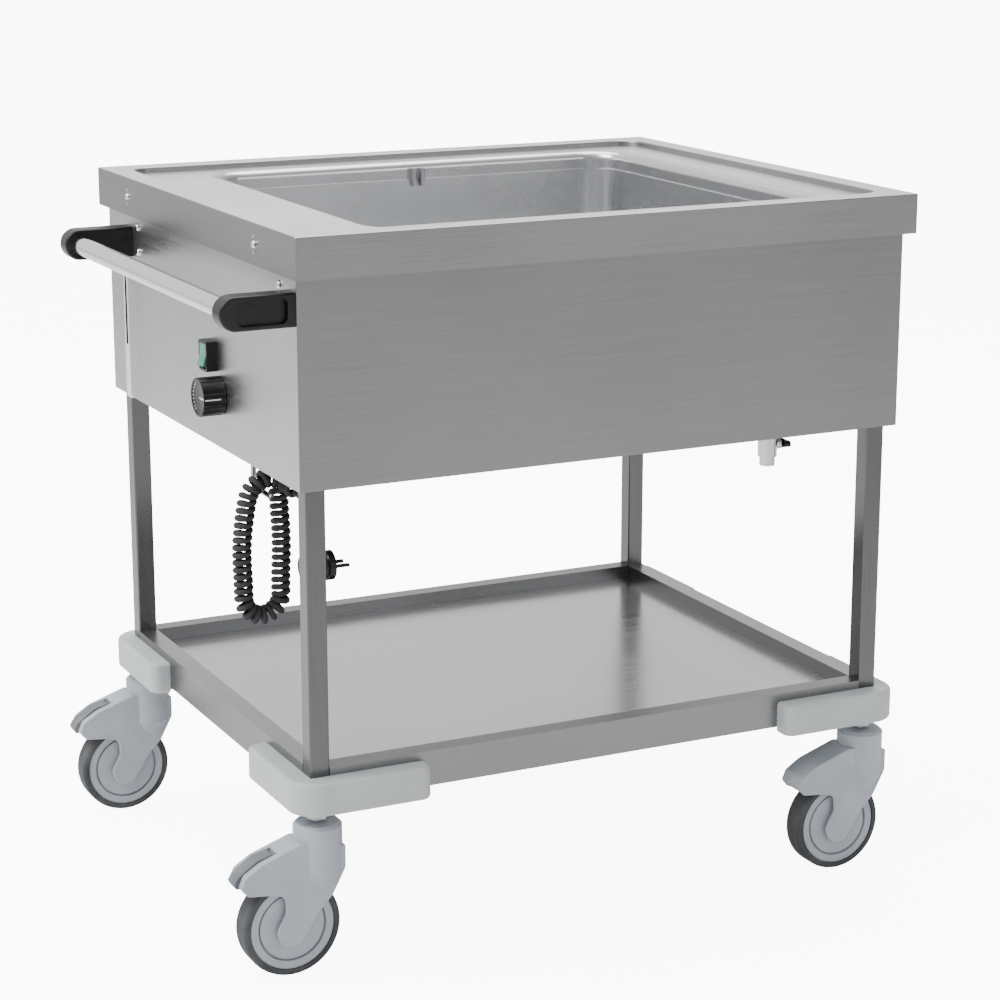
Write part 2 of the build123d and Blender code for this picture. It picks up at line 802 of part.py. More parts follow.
# Thermostat: knob, the spindle it turns, and the switch body behind the panel.
knob_spot = (knob_right, knob_height)
spindle_inside = 12.0
spindle_outside = 20.0
with BuildPart() as thermostat_knob:
    with BuildSketch(panel.offset(knob_gap)):
        with Locations(knob_spot):
            Circle(knob_diameter / 2)
    extrude(amount=knob_depth)
    fillet(thermostat_knob.faces().sort_by(Axis.X)[0].edges(), radius=3)
    with BuildSketch(panel.offset(knob_gap)):
        with Locations(knob_spot):
            Circle(spindle_diameter / 2)
    extrude(amount=spindle_outside, mode=Mode.SUBTRACT)
    with BuildSketch(panel.offset(knob_gap + 6)):
        with Locations((knob_right + knob_diameter / 2, knob_height)):
            Rectangle(2, 2.4)
    extrude(amount=knob_depth, mode=Mode.SUBTRACT)
thermostat_knob.part.label = "thermostat_knob"
export_step(thermostat_knob.part, "parts/thermostat_knob.step")

with BuildPart() as thermostat_spindle:
    with BuildSketch(panel.offset(-panel_sheet - spindle_inside)):
        with Locations(knob_spot):
            Circle(spindle_diameter / 2)
    extrude(amount=spindle_inside + panel_sheet + knob_gap + spindle_outside)
thermostat_spindle.part.label = "thermostat_spindle"
export_step(thermostat_spindle.part, "parts/thermostat_spindle.step")

with BuildPart() as thermostat_body:
    with BuildSketch(panel.offset(-panel_sheet)):
        with Locations(knob_spot):
            RectangleRounded(40, 46, 3)
    extrude(amount=-26)
    with BuildSketch(panel.offset(-panel_sheet)):
        with Locations(knob_spot):
            Circle(spindle_diameter / 2 + running_fit)
    extrude(amount=-spindle_inside - 1, mode=Mode.SUBTRACT)
thermostat_body.part.label = "thermostat_body"
export_step(thermostat_body.part, "parts/thermostat_body.step")

with BuildPart() as terminal_block:
    with BuildSketch(panel.offset(-panel_sheet)):
        with Locations((terminal_right, terminal_height)):
            Rectangle(60, 22)
    extrude(amount=-18)
    with BuildSketch(panel.offset(-panel_sheet - 18)):
        with Locations((terminal_right, terminal_height)):
            with GridLocations(11, 0, 5, 1):
                Circle(2.5)
    extrude(amount=12, mode=Mode.SUBTRACT)
terminal_block.part.label = "terminal_block"
export_step(terminal_block.part, "parts/terminal_block.step")

# Level gauge: a channel with a sight tube between two end caps.
gauge_spot = -gauge_left
gauge_mid = gauge_bottom + gauge_length / 2
with BuildPart() as gauge_channel:
    with BuildSketch(panel):
        with Locations((gauge_spot, gauge_mid)):
            Rectangle(gauge_width, gauge_length)
    extrude(amount=gauge_depth)
    with BuildSketch(panel.offset(gauge_wall)):
        with Locations((gauge_spot, gauge_mid)):
            Rectangle(gauge_width - 2 * gauge_wall, gauge_length)
    extrude(amount=gauge_depth - 2 * gauge_wall, mode=Mode.SUBTRACT)
    with BuildSketch(panel.offset(gauge_depth)):
        with Locations((gauge_spot, gauge_bottom + gauge_length - gauge_window / 2)):
            Rectangle(gauge_slot, gauge_window)
    extrude(amount=-gauge_wall, mode=Mode.SUBTRACT)
gauge_channel.part.label = "gauge_channel"
export_step(gauge_channel.part, "parts/gauge_channel.step")

with BuildPart() as gauge_caps:
    cap_spots = [
        (gauge_spot, gauge_bottom + cap_length / 2),
        (gauge_spot, gauge_bottom + gauge_length - cap_length / 2),
    ]
    with BuildSketch(panel.offset(gauge_wall)):
        with Locations(*cap_spots):
            Rectangle(gauge_width - 2 * gauge_wall, cap_length)
    extrude(amount=gauge_depth - 2 * gauge_wall)
gauge_caps.part.label = "gauge_caps"
export_step(gauge_caps.part, "parts/gauge_caps.step")

tube_plane = Plane(
    origin=(
        mid_x - cab_x - gauge_wall - gauge_tube / 2 - 0.3,
        gauge_left,
        gauge_bottom + cap_length,
    )
)
with BuildPart() as gauge_glass:
    with BuildSketch(tube_plane):
        Circle(gauge_tube / 2)
    extrude(amount=gauge_length - 2 * cap_length)
gauge_glass.part.label = "gauge_glass"
export_step(gauge_glass.part, "parts/gauge_glass.step")


# ---------------------------------------------------------------- heating and drain

# Tubular heater in three loops under the bowl's floor.
heater_z = basin_floor - sheet - heater_diameter / 2
loop_x = bowl_x / 2 - heater_inset
loop_y = (bowl_y / 2 - heater_inset) / 3
heater_path_points = [
    (basin_mid - loop_x, -3 * loop_y),
    (basin_mid + loop_x, -3 * loop_y),
    (basin_mid + loop_x, -loop_y),
    (basin_mid - loop_x + 2 * heater_bend, -loop_y),
    (basin_mid - loop_x + 2 * heater_bend, loop_y),
    (basin_mid + loop_x, loop_y),
    (basin_mid + loop_x, 3 * loop_y),
    (basin_mid - loop_x, 3 * loop_y),
]
with BuildPart() as heating_element:
    with BuildLine() as heater_path:
        FilletPolyline(
            [(mid_x + x, y, heater_z) for x, y in heater_path_points], radius=heater_bend
        )
    with BuildSketch(
        Plane(
            origin=(mid_x + basin_mid - loop_x, -3 * loop_y, heater_z),
            x_dir=(0, 1, 0),
            z_dir=(1, 0, 0),
        )
    ):
        Circle(heater_diameter / 2)
    sweep(path=heater_path.line)
heating_element.part.label = "heating_element"
export_step(heating_element.part, "parts/heating_element.step")

# Drain pipe from the bowl's floor, set over to the valve.
drain_path_points = [
    (mid_x + drain_x, drain_y, basin_floor - sheet),
    (mid_x + drain_x, drain_y, basin_floor - 34),
    (mid_x + valve_x, valve_y, cabinet_bottom + 36),
    (mid_x + valve_x, valve_y, valve_top),
]
with BuildPart() as drain_pipe:
    with BuildLine() as drain_path:
        FilletPolyline(drain_path_points, radius=drain_bend)
    with BuildSketch(Plane(origin=drain_path_points[0], z_dir=(0, 0, -1))):
        Circle(drain_diameter / 2)
        Circle(drain_diameter / 2 - drain_wall, mode=Mode.SUBTRACT)
    sweep(path=drain_path.line)
drain_pipe.part.label = "drain_pipe"
export_step(drain_pipe.part, "parts/drain_pipe.step")

valve_down = Plane(origin=(mid_x + valve_x, valve_y, valve_top), z_dir=(0, 0, -1))
valve_side = Plane(
    origin=(mid_x + valve_x, valve_y, valve_top - valve_height / 2), x_dir=(0, 1, 0), z_dir=(1, 0, 0)
)
boss_end = valve_diameter / 2 + 5
with BuildPart() as drain_valve:
    with BuildSketch(valve_down):
        Circle(valve_diameter / 2)
    extrude(amount=valve_height)
    with BuildSketch(valve_down.offset(valve_height)):
        Circle(nozzle_diameter / 2)
    extrude(amount=nozzle_height)
    with BuildSketch(valve_side):
        Circle(7)
    extrude(amount=boss_end)
    with BuildSketch(valve_down):
        Circle(drain_diameter / 2 - drain_wall)
    extrude(amount=valve_height / 2 - 8, mode=Mode.SUBTRACT)
    with BuildSketch(valve_down.offset(valve_height + nozzle_height)):
        Circle(7)
    extrude(amount=-nozzle_height - 6, mode=Mode.SUBTRACT)
    with BuildSketch(valve_side.offset(boss_end)):
        Circle(spindle_diameter / 2 + running_fit)
    extrude(amount=-9, mode=Mode.SUBTRACT)
drain_valve.part.label = "drain_valve"
export_step(drain_valve.part, "parts/drain_valve.step")

with BuildPart() as drain_lever:
    with BuildSketch(valve_side.offset(boss_end - 8)):
        Circle(spindle_diameter / 2)
    extrude(amount=8 + lever_gap)
    with BuildSketch(valve_side.offset(boss_end + lever_gap)):
        Circle(6.5)
    extrude(amount=5)
    with BuildSketch(valve_side.offset(boss_end + lever_gap + 2)):
        SlotOverall(lever_length, 8)
    extrude(amount=8)
drain_lever.part.label = "drain_lever"
export_step(drain_lever.part, "parts/drain_lever.step")


# ---------------------------------------------------------------- mains cord

# Gland through the bottom cover; the cord leaves its tapered nose downwards.
gland_origin = Plane(
    origin=(mid_x + gland_x, gland_y, cover_bottom), x_dir=(1, 0, 0), z_dir=(0, -1, 0)
)
gland_tip = cover_bottom - gland_nose
with BuildPart() as cable_gland:
    with BuildSketch(gland_origin):
        with BuildLine():
            Polyline(
                (0, -gland_nose),
                (cable / 2 + 1.2, -gland_nose),
                (8.5, -10),
                (11, -9),
                (11, 0),
                (gland_thread / 2, 0),
                (gland_thread / 2, panel_sheet),
                (11, panel_sheet),
                (11, panel_sheet + 5),
                (gland_thread / 2, panel_sheet + 5),
                (gland_thread / 2, 14),
                (0, 14),
                close=True,
            )
        make_face()
    revolve(axis=Axis((mid_x + gland_x, gland_y, 0), (0, 0, 1)))
cable_gland.part.label = "cable_gland"
export_step(cable_gland.part, "parts/cable_gland.step")

# Curly cord: hangs from its gland, turns up and goes over the hook.
loop_mid = mid_x - cab_x + cord_inset
loop_right = loop_mid + coil_radius
loop_left = loop_mid - coil_radius
coil_top = 575.0
coil_bottom = 400.0
coil_start = gland_tip - 12
coil_points = [
    (loop_right, gland_y, coil_start),
    (loop_right, gland_y, coil_bottom),
    (loop_left, gland_y - 8, coil_bottom),
    (loop_left, gland_y - 20, coil_top),
    (loop_right, gland_y - 26, coil_top),
    (loop_right, gland_y - 56, coil_top - 10),
]
coil_radii = [coil_bend] * 4


def corner_radii(points, share, largest):
    """Radius of the arc at each corner: as large as the shorter run beside it allows."""
    radii = []
    for before, at, after in zip(points, points[1:], points[2:]):
        arriving = Vector(*at) - Vector(*before)
        leaving = Vector(*after) - Vector(*at)
        half_turn = math.radians(arriving.get_angle(leaving)) / 2
        shorter = min(arriving.length, leaving.length)
        radii.append(min(largest, share * shorter / math.tan(half_turn)))
    return radii


def tube_along(points, radii, diameter):
    """A round solid that follows straight runs joined by tangent arcs."""
    with BuildPart() as tube:
        with BuildLine():
            route = FilletPolyline(points, radius=radii)
        with BuildSketch(Plane(origin=route @ 0, z_dir=route % 0)):
            Circle(diameter / 2)
        sweep(path=route)
    expected = math.pi * diameter**2 / 4 * route.length
    print(
        "radii", [round(r, 1) for r in radii], "length", round(route.length, 1),
        "volume share", round(tube.part.volume / expected, 4),
    )
    return tube.part


curly_cord = tube_along(coil_points, coil_radii, coil_diameter)
curly_cord.label = "curly_cord"
export_step(curly_cord, "parts/curly_cord.step")

# Plain ends of the cord: a short one under the gland, and the tail that goes to the plug.
plug_y = -(leg_y - leg_size) + clip_wall + plug_radius
plug_back = mid_x - cab_x + plug_inset
boss_x = plug_back + boss_inset
boss_top = plug_height + boss_height
tail_x, tail_y, tail_z = coil_points[-1]
tail_points = [
    (tail_x, tail_y, tail_z),
    (tail_x, tail_y - 24, tail_z - 8),
    (boss_x + 7, plug_y + 26, tail_z + 4),
    (boss_x, plug_y, boss_top + 31),
    (boss_x, plug_y, boss_top),
]
with BuildPart() as cord_ends:
    with BuildSketch(Plane(origin=(mid_x + gland_x, gland_y, gland_tip), z_dir=(0, 0, -1))):
        Circle(cable / 2)
    extrude(amount=gland_tip - coil_start)
    add(tube_along(tail_points, corner_radii(tail_points, 0.45, 60), cable))
cord_ends.part.label = "cord_ends"
export_step(cord_ends.part, "parts/cord_ends.step")

# Moulded plug: round body with a flange behind the pins, and the cord's sleeve on top.
plug_axis = Plane(origin=(plug_back, plug_y, plug_height), x_dir=(1, 0, 0), z_dir=(0, -1, 0))
with BuildPart() as plug:
    with BuildSketch(plug_axis):
        with BuildLine():
            Polyline(
                (0, 0),
                (0, plug_radius - 3),
                (3, plug_radius),
                (plug_length - 10, plug_radius),
                (plug_length - 8, plug_face),
                (plug_length, plug_face),
                (plug_length, 0),
                close=True,
            )
        make_face()
    revolve(axis=Axis((plug_back, plug_y, plug_height), (1, 0, 0)))
    with BuildSketch(Plane(origin=(boss_x, plug_y, plug_height))):
        Circle(9)
    extrude(amount=boss_height, taper=5)
    with BuildSketch(Plane(origin=(plug_back + plug_length, plug_y, plug_height), z_dir=(1, 0, 0))):
        with GridLocations(0, pin_spacing, 1, 2):
            Circle(pin_diameter / 2)
    extrude(amount=pin_length)
plug.part.label = "plug"
export_step(plug.part, "parts/plug.step")

# Spring clip on the leg that parks the plug; the band is open at the top for the sleeve.
with BuildPart() as plug_clip:
    clip_mid = plug_back + 3.5 + clip_width / 2
    clip_side = Plane(origin=(clip_mid, plug_y, plug_height), x_dir=(0, 1, 0), z_dir=(1, 0, 0))
    with BuildSketch(clip_side):
        Circle(plug_radius + clip_wall)
        with Locations((-plug_radius - clip_wall / 2, 0)):
            Rectangle(clip_wall, 22)
        Circle(plug_radius, mode=Mode.SUBTRACT)
        with Locations((0, plug_radius)):
            Rectangle(24, 2 * plug_radius - 12, mode=Mode.SUBTRACT)
    extrude(amount=clip_width / 2, both=True)
plug_clip.part.label = "plug_clip"
export_step(plug_clip.part, "parts/plug_clip.step")

# Hook for the cord: a rod down from the bottom cover and forward under the loop's top.
hook_z = coil_top - coil_radius + (coil_radius - coil_diameter / 2) - hook_diameter / 2 - hook_gap
hook_points = [
    (loop_mid, gland_y + 16, cover_bottom),
    (loop_mid, gland_y + 16, hook_z),
    (loop_mid, gland_y - 40, hook_z),
    (loop_mid, gland_y - 45, hook_z + 6),
]
with BuildPart() as cord_hook:
    with BuildLine() as hook_path:
        FilletPolyline(hook_points, radius=[8, 3.5])
    with BuildSketch(Plane(origin=hook_points[0], z_dir=(0, 0, -1))):
        Circle(hook_diameter / 2)
    sweep(path=hook_path.line)
    with BuildSketch(Plane(origin=hook_points[0], z_dir=(0, 0, -1))):
        Circle(9)
    extrude(amount=2)
cord_hook.part.label = "cord_hook"
export_step(cord_hook.part, "parts/cord_hook.step")
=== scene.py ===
import bpy
import math
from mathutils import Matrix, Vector


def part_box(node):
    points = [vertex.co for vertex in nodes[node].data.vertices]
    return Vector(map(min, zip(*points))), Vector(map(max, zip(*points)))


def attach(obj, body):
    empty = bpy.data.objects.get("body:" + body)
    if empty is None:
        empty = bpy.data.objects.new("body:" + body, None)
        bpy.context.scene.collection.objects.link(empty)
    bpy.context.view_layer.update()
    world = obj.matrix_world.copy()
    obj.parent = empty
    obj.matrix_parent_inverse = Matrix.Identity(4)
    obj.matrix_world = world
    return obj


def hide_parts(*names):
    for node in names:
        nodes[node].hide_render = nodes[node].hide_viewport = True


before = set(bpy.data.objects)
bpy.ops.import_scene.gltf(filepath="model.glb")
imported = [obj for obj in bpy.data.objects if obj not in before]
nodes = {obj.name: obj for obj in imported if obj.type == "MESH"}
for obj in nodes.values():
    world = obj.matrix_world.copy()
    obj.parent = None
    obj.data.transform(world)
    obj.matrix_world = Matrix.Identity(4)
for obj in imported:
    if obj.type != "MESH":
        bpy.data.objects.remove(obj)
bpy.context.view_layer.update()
bpy.ops.object.select_all(action="DESELECT")


# ------------------------------------------------------------------ camera, lights and floor
# A long lens looks down at the unit from its front left corner. The floor and the light are
# those of a plain studio.
bpy.ops.object.camera_add(
    location=(-1.477, -3.1047, 1.3416),
    rotation=(math.radians(90 - 14.16), 0, math.radians(-26.18)),
)
camera = bpy.context.object
camera.data.lens = 95.6
camera.data.clip_end = 50
bpy.context.scene.camera = camera

bpy.ops.mesh.primitive_plane_add(size=60, location=(0, 0, 0))
floor = bpy.context.object
floor.name = "studio_floor"
floor_paint = bpy.data.materials.new("studio_floor")
floor_paint.use_nodes = True
floor_shader = floor_paint.node_tree.nodes["Principled BSDF"]
floor_shader.inputs["Base Color"].default_value = (0.93, 0.93, 0.93, 1)
floor_shader.inputs["Roughness"].default_value = 0.9
floor_sheet = floor_paint.node_tree
looked_at = floor_sheet.nodes.new("ShaderNodeLightPath")
lift = floor_sheet.nodes.new("ShaderNodeMath")
lift.operation = "MULTIPLY"
lift.inputs[1].default_value = 9
glow = floor_sheet.nodes.new("ShaderNodeEmission")
together = floor_sheet.nodes.new("ShaderNodeAddShader")
floor_sheet.links.new(looked_at.outputs["Is Camera Ray"], lift.inputs[0])
floor_sheet.links.new(lift.outputs[0], glow.inputs["Strength"])
floor_sheet.links.new(floor_shader.outputs[0], together.inputs[0])
floor_sheet.links.new(glow.outputs[0], together.inputs[1])
floor_sheet.links.new(together.outputs[0], floor_sheet.nodes["Material Output"].inputs["Surface"])
floor.data.materials.append(floor_paint)

world = bpy.data.worlds.new("studio")
bpy.context.scene.world = world
world.use_nodes = True
room = world.node_tree
backdrop = room.nodes["Background"]
backdrop.inputs["Strength"].default_value = 1.0
heading = room.nodes.new("ShaderNodeTexCoord")
facing = room.nodes.new("ShaderNodeVectorMath")
facing.operation = "DOT_PRODUCT"
facing.inputs[1].default_value = (-0.42, 0.70, 0.58)
room.links.new(heading.outputs["Generated"], facing.inputs[0])
fade = room.nodes.new("ShaderNodeValToRGB")
fade.color_ramp.elements[0].position = 0.25
fade.color_ramp.elements[0].color = (0.34, 0.35, 0.36, 1)
fade.color_ramp.elements[1].position = 0.80
fade.color_ramp.elements[1].color = (1.25, 1.25, 1.25, 1)
half = room.nodes.new("ShaderNodeMath")
half.operation = "MULTIPLY_ADD"
half.inputs[1].default_value = 0.5
half.inputs[2].default_value = 0.5
room.links.new(facing.outputs["Value"], half.inputs[0])
room.links.new(half.outputs[0], fade.inputs["Fac"])
room.links.new(fade.outputs["Color"], backdrop.inputs["Color"])

for name, place, aim, size, power in (
    ("key", (-2.6, -0.2, 3.4), (0, 0, 0.6), 2.2, 150),
    ("top", (0.4, 0.9, 3.8), (0, 0, 0.8), 3.0, 130),
    ("front", (2.2, -4.5, 1.8), (0, 0, 0.4), 1.6, 20),
):
    bpy.ops.object.light_add(type="AREA", location=place)
    lamp = bpy.context.object
    lamp.name = name + "_light"
    lamp.data.size = size
    lamp.data.energy = power
    lamp.rotation_euler = (Vector(aim) - Vector(place)).to_track_quat("-Z", "Y").to_euler()


# ------------------------------------------------------------------ mains cord
# A black curly cord: it leaves its gland straight, hangs in one long loop over a hook and ends
# in a plain tail that goes into the plug. The coil is cable wound at a steady diameter.
bpy.ops.object.select_all(action="DESELECT")
cable_diameter = 0.0076
wind_radius = 0.0087
# A point's radius widens the curve's own box, so it is small and the bevel is deep to match.
point_radius = 0.01
loop_route = [
    (-0.3237, -0.1410, 0.5732),
    (-0.3237, -0.1410, 0.5450),
    (-0.3205, -0.1412, 0.4900),
    (-0.3237, -0.1418, 0.4407),
    (-0.3237, -0.1432, 0.4109),
    (-0.3495, -0.1455, 0.3960),
    (-0.3753, -0.1490, 0.4109),
    (-0.3753, -0.1500, 0.4407),
    (-0.3785, -0.1530, 0.4900),
    (-0.3740, -0.1565, 0.5350),
    (-0.3690, -0.1600, 0.5640),
    (-0.3495, -0.1640, 0.5800),
    (-0.3270, -0.1690, 0.5740),
    (-0.3225, -0.1860, 0.5690),
    (-0.3237, -0.2080, 0.5615),
    (-0.3270, -0.2380, 0.5650),
    (-0.3350, -0.2660, 0.5680),
    (-0.3395, -0.2830, 0.5540),
    (-0.3395, -0.2830, 0.5270),
]
route_curve = bpy.data.curves.new("cord_route", "CURVE")
route_curve.dimensions = "3D"
route_curve.resolution_u = 24
route_line = route_curve.splines.new("NURBS")
route_line.points.add(len(loop_route) - 1)
for point, place in zip(route_line.points, loop_route):
    point.co = (*place, 1)
route_line.order_u = 3
route_line.use_endpoint_u = True
route_object = bpy.data.objects.new("cord_route", route_curve)
bpy.context.collection.objects.link(route_object)
route_mesh = bpy.data.meshes.new_from_object(route_object)
route = [v.co.copy() for v in route_mesh.vertices]
bpy.data.objects.remove(route_object)

travelled = [0.0]
for before, after in zip(route, route[1:]):
    travelled.append(travelled[-1] + (after - before).length)


def route_at(distance):
    """Place and direction on the route, at a distance from the gland."""
    at = min(max(distance, 0.0), travelled[-1] - 1e-6)
    i = next(k for k in range(1, len(travelled)) if travelled[k] >= at) - 1
    share = (at - travelled[i]) / (travelled[i + 1] - travelled[i])
    return route[i].lerp(route[i + 1], share), (route[i + 1] - route[i]).normalized()


wind_start = 0.012
coil_end_y = -0.197
wind_end = next(travelled[i] for i, p in enumerate(route) if p.y < coil_end_y)
steps_per_turn = 14
cord_points = [route[0], route_at(0.006)[0]]
side = Vector((0, 1, 0))
distance = wind_start
angle = 0.0
while distance < wind_end:
    place, ahead = route_at(distance)
    behind_ahead = route_at(distance - 0.006)[1]
    next_ahead = route_at(distance + 0.006)[1]
    bend = behind_ahead.angle(next_ahead) / 0.012
    pitch = max(0.0094, 0.0070 / max(0.35, 1 - wind_radius * bend))
    side = (side - ahead * side.dot(ahead)).normalized()
    across = ahead.cross(side)
    ramp = min(1.0, (distance - wind_start) / 0.007, (wind_end - distance) / 0.007)
    reach = wind_radius * 1.03 * (0.5 - 0.5 * math.cos(math.pi * max(0.0, ramp)))
    cord_points.append(place + (side * math.cos(angle) + across * math.sin(angle)) * reach)
    angle += 2 * math.pi / steps_per_turn
    distance += pitch / steps_per_turn
tail_steps = 9
tail_length = travelled[-1] - wind_end
cord_points += [
    route_at(wind_end + tail_length * (k + 1) / tail_steps)[0] for k in range(tail_steps - 1)
]
cord_points.append(route[-1])

cord_curve = bpy.data.curves.new("curly_cord_cable", "CURVE")
cord_curve.dimensions = "3D"
cord_curve.resolution_u = 3
cord_curve.bevel_depth = cable_diameter / 2 / point_radius
cord_curve.bevel_resolution = 3
cord_curve.use_fill_caps = True
cord_line = cord_curve.splines.new("NURBS")
cord_line.points.add(len(cord_points) - 1)
for point, place in zip(cord_line.points, cord_points):
    point.co = (*place, 1)
    point.radius = point_radius
cord_line.order_u = 3
cord_line.use_endpoint_u = True
cord = bpy.data.objects.new("curly_cord_cable", cord_curve)
bpy.context.collection.objects.link(cord)
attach(cord, "trolley")
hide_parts("curly_cord", "cord_ends")


# ------------------------------------------------------------------ stainless steel
# The cabinet, frame and shelf are brushed stainless sheet and tube. The grain runs along each
# sheet, and hands and cloths leave faint clouds on it. Faces that look upwards are painted paler,
# a painted sheen of the light from above.
steel = bpy.data.node_groups.new("brushed_steel", "ShaderNodeTree")
for socket_name, kind in (("Grain Scale", "NodeSocketVector"), ("Light", "NodeSocketColor"),
                          ("Dark", "NodeSocketColor"), ("Smooth", "NodeSocketFloat"),
                          ("Rough", "NodeSocketFloat"), ("Relief", "NodeSocketFloat"),
                          ("Painted Top Sheen", "NodeSocketFloat")):
    steel.interface.new_socket(socket_name, in_out="INPUT", socket_type=kind)
for socket_name, kind in (("Color", "NodeSocketColor"), ("Roughness", "NodeSocketFloat"),
                          ("Normal", "NodeSocketVector")):
    steel.interface.new_socket(socket_name, in_out="OUTPUT", socket_type=kind)
given = steel.nodes.new("NodeGroupInput")
result = steel.nodes.new("NodeGroupOutput")
place = steel.nodes.new("ShaderNodeTexCoord")
stretch = steel.nodes.new("ShaderNodeVectorMath")
stretch.operation = "MULTIPLY"
steel.links.new(place.outputs["Object"], stretch.inputs[0])
steel.links.new(given.outputs["Grain Scale"], stretch.inputs[1])
grain = steel.nodes.new("ShaderNodeTexNoise")
grain.inputs["Scale"].default_value = 1.0
grain.inputs["Detail"].default_value = 4.0
grain.inputs["Roughness"].default_value = 0.65
steel.links.new(stretch.outputs[0], grain.inputs["Vector"])
cloud = steel.nodes.new("ShaderNodeTexNoise")
cloud.inputs["Scale"].default_value = 3.4
cloud.inputs["Detail"].default_value = 3.0
cloud.inputs["Roughness"].default_value = 0.55
steel.links.new(place.outputs["Object"], cloud.inputs["Vector"])
both = steel.nodes.new("ShaderNodeMath")
both.operation = "MULTIPLY_ADD"
steel.links.new(grain.outputs["Fac"], both.inputs[0])
both.inputs[1].default_value = 0.55
cloud_share = steel.nodes.new("ShaderNodeMath")
cloud_share.operation = "MULTIPLY"
steel.links.new(cloud.outputs["Fac"], cloud_share.inputs[0])
cloud_share.inputs[1].default_value = 0.45
steel.links.new(cloud_share.outputs[0], both.inputs[2])
spread = steel.nodes.new("ShaderNodeMapRange")
spread.inputs["From Min"].default_value = 0.34
spread.inputs["From Max"].default_value = 0.66
steel.links.new(both.outputs[0], spread.inputs["Value"])
tint = steel.nodes.new("ShaderNodeMix")
tint.data_type = "RGBA"
steel.links.new(spread.outputs[0], tint.inputs["Factor"])
steel.links.new(given.outputs["Dark"], tint.inputs[6])
steel.links.new(given.outputs["Light"], tint.inputs[7])
# Painted top sheen: faces whose normal points up are mixed towards a pale steel colour, a painted
# highlight of the light from above, as strong as each finish sets it.
upward = steel.nodes.new("ShaderNodeNewGeometry")
split = steel.nodes.new("ShaderNodeSeparateXYZ")
steel.links.new(upward.outputs["Normal"], split.inputs[0])
painted_top_sheen_mask = steel.nodes.new("ShaderNodeMapRange")
painted_top_sheen_mask.inputs["From Min"].default_value = 0.85
painted_top_sheen_mask.inputs["From Max"].default_value = 1.0
steel.links.new(given.outputs["Painted Top Sheen"], painted_top_sheen_mask.inputs["To Max"])
steel.links.new(split.outputs["Z"], painted_top_sheen_mask.inputs["Value"])
top_sheen_mix = steel.nodes.new("ShaderNodeMix")
top_sheen_mix.data_type = "RGBA"
steel.links.new(painted_top_sheen_mask.outputs[0], top_sheen_mix.inputs["Factor"])
steel.links.new(tint.outputs[2], top_sheen_mix.inputs[6])
top_sheen_mix.inputs[7].default_value = (0.86, 0.865, 0.875, 1)
steel.links.new(top_sheen_mix.outputs[2], result.inputs["Color"])
sheen = steel.nodes.new("ShaderNodeMapRange")
steel.links.new(spread.outputs[0], sheen.inputs["Value"])
steel.links.new(given.outputs["Smooth"], sheen.inputs["To Min"])
steel.links.new(given.outputs["Rough"], sheen.inputs["To Max"])
steel.links.new(sheen.outputs[0], result.inputs["Roughness"])
scratch = steel.nodes.new("ShaderNodeBump")
scratch.inputs["Distance"].default_value = 0.0003
steel.links.new(given.outputs["Relief"], scratch.inputs["Strength"])
steel.links.new(grain.outputs["Fac"], scratch.inputs["Height"])
steel.links.new(scratch.outputs[0], result.inputs["Normal"])

